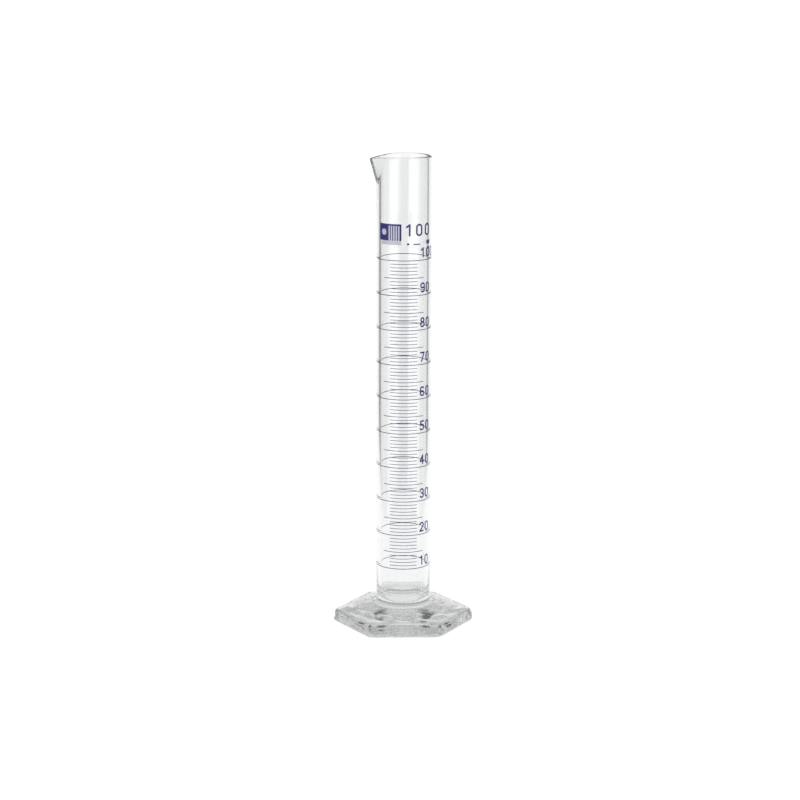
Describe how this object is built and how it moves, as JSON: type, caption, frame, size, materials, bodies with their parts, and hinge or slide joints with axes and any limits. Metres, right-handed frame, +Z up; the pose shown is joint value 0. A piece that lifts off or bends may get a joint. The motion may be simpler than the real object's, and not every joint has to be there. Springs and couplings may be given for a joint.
{
  "type": "graduated cylinder",
  "caption": "Tall clear-glass graduated measuring cylinder with a pouring spout, blue enamel scale and a fused hexagonal foot.",
  "frame": {"origin": "centre of the foot on the plane it stands on", "axes": "+Z up along the tube, spout towards -X, middle of the scale towards -Y, figures round towards +X"},
  "size_m": [0.078, 0.0702, 0.2635],
  "materials": {
    "clear_glass": "clear and polished, faint grey in the thick foot, satin underside",
    "blue_enamel": "fired blue enamel, slightly glossy",
    "pale_enamel": "thin pale blue tint of the same enamel"
  },
  "bodies": {
    "root": {"capacity_heading": "blue_enamel", "fine_scale_10": "blue_enamel", "fine_scale_20": "blue_enamel", "fine_scale_30": "blue_enamel", "fine_scale_40": "blue_enamel", "fine_scale_50": "blue_enamel", "fine_scale_60": "blue_enamel", "fine_scale_70": "blue_enamel", "fine_scale_80": "blue_enamel", "fine_scale_90": "blue_enamel", "fused_seal": "clear_glass", "glass_tube": "clear_glass", "hex_foot": "clear_glass", "marking_panel": "blue_enamel", "mid_mark_15": "blue_enamel", "mid_mark_25": "blue_enamel", "mid_mark_35": "blue_enamel", "mid_mark_45": "blue_enamel", "mid_mark_55": "blue_enamel", "mid_mark_65": "blue_enamel", "mid_mark_75": "blue_enamel", "mid_mark_85": "blue_enamel", "mid_mark_95": "blue_enamel", "numeral_10": "blue_enamel", "numeral_100": "blue_enamel", "numeral_20": "blue_enamel", "numeral_30": "blue_enamel", "numeral_40": "blue_enamel", "numeral_50": "blue_enamel", "numeral_60": "blue_enamel", "numeral_70": "blue_enamel", "numeral_80": "blue_enamel", "numeral_90": "blue_enamel", "panel_tint": "pale_enamel", "ring_mark_10": "blue_enamel", "ring_mark_100": "blue_enamel", "ring_mark_20": "blue_enamel", "ring_mark_30": "blue_enamel", "ring_mark_40": "blue_enamel", "ring_mark_50": "blue_enamel", "ring_mark_60": "blue_enamel", "ring_mark_70": "blue_enamel", "ring_mark_80": "blue_enamel", "ring_mark_90": "blue_enamel", "small_print_bars": "blue_enamel"}
  },
  "joints": []
}
